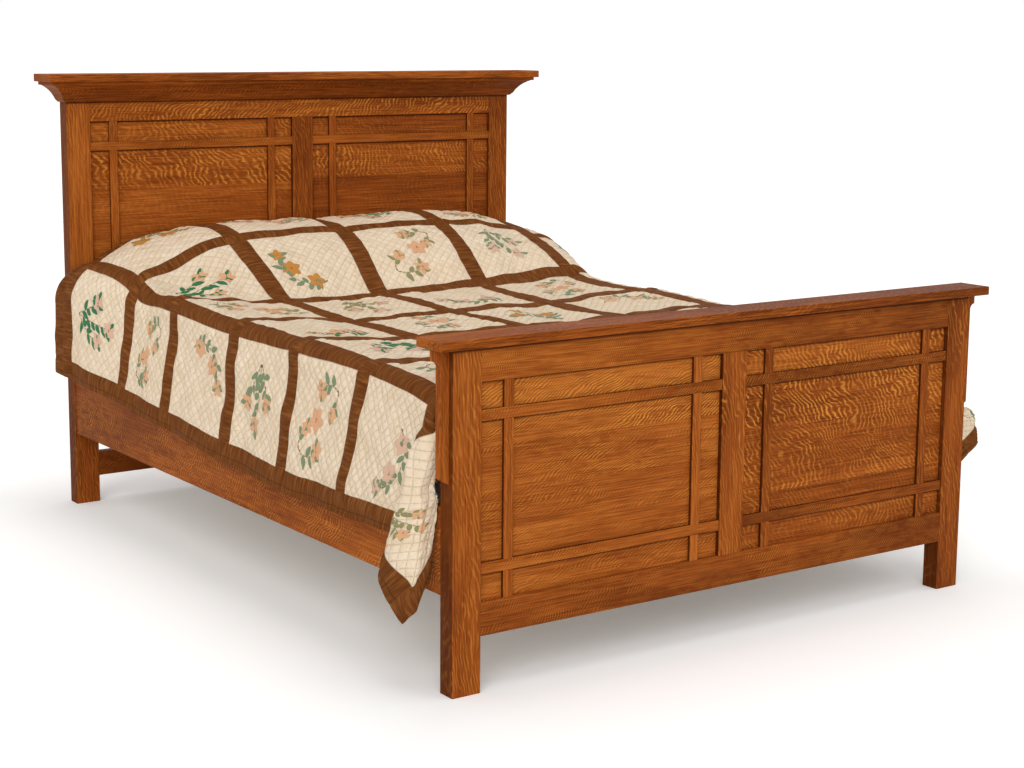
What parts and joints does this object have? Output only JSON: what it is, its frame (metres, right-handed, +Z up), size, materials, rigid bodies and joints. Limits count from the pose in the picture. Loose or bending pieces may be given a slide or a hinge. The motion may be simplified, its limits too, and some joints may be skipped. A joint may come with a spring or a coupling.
{
  "type": "bed",
  "caption": "Oak panel bed with a tall crowned headboard, a lattice footboard, side rails, slats, mattress, pillows and a patchwork quilt.",
  "frame": {"origin": "on the floor, under the middle of the bed's bounding box", "axes": "+X to the right as seen from the foot, +Y from the foot to the head, +Z up"},
  "size_m": [1.786, 2.198, 1.33],
  "materials": {
    "oak": "amber-brown stained quarter-sawn oak with ray fleck, satin varnish",
    "support_wood": "plain unstained hardwood",
    "plate_steel": "zinc-plated pressed steel",
    "screw_steel": "zinc-plated steel",
    "foot_plastic": "matt moulded plastic",
    "ticking": "woven cotton ticking",
    "pillow_cotton": "plain cotton",
    "quilt_cotton": "quilted cotton, cream blocks with embroidered sprigs and brown sashing"
  },
  "bodies": {
    "frame": {"centre_leg_front": "support_wood", "centre_leg_rear": "support_wood", "footboard_bottom_rail": "oak", "footboard_cap": "oak", "footboard_centre_stile": "oak", "footboard_corbel_left": "oak", "footboard_corbel_right": "oak", "footboard_panel_left": "oak", "footboard_panel_right": "oak", "footboard_post_left": "oak", "footboard_post_right": "oak", "footboard_strip_left_inner": "oak", "footboard_strip_left_lower": "oak", "footboard_strip_left_outer": "oak", "footboard_strip_left_upper": "oak", "footboard_strip_right_inner": "oak", "footboard_strip_right_lower": "oak", "footboard_strip_right_outer": "oak", "footboard_strip_right_upper": "oak", "footboard_top_rail": "oak", "foundation": "ticking", "headboard_bottom_rail": "oak", "headboard_cap": "oak", "headboard_centre_stile": "oak", "headboard_crown_front": "oak", "headboard_crown_left": "oak", "headboard_crown_right": "oak", "headboard_panel_left": "oak", "headboard_panel_right": "oak", "headboard_post_left": "oak", "headboard_post_right": "oak", "headboard_stretcher": "oak", "headboard_strip_left_inner": "oak", "headboard_strip_left_outer": "oak", "headboard_strip_left_upper": "oak", "headboard_strip_right_inner": "oak", "headboard_strip_right_outer": "oak", "headboard_strip_right_upper": "oak", "headboard_top_rail": "oak", "ledger_left": "support_wood", "ledger_right": "support_wood", "ledger_screws": "screw_steel", "post_slotted_plates": "plate_steel", "rail_hook_plates": "plate_steel", "side_rail_left": "oak", "side_rail_right": "oak", "slat_1": "support_wood", "slat_2": "support_wood", "slat_3": "support_wood", "slat_4": "support_wood", "slat_5": "support_wood", "slat_screws": "screw_steel"},
    "bedding": {"mattress": "ticking", "pillow_left": "pillow_cotton", "pillow_right": "pillow_cotton", "quilt": "quilt_cotton"},
    "front_levelling_foot": {"levelling_foot_front": "foot_plastic"},
    "rear_levelling_foot": {"levelling_foot_rear": "foot_plastic"}
  },
  "joints": [
    {"name": "bedding_lift", "type": "slide", "parent": "frame", "child": "bedding", "axis": [0, 0, 1], "range_m": [0, 0.32]},
    {"name": "front_foot_level", "type": "slide", "parent": "frame", "child": "front_levelling_foot", "axis": [0, 0, 1], "range_m": [-0.012, 0.005]},
    {"name": "rear_foot_level", "type": "slide", "parent": "frame", "child": "rear_levelling_foot", "axis": [0, 0, 1], "range_m": [-0.012, 0.005]}
  ]
}
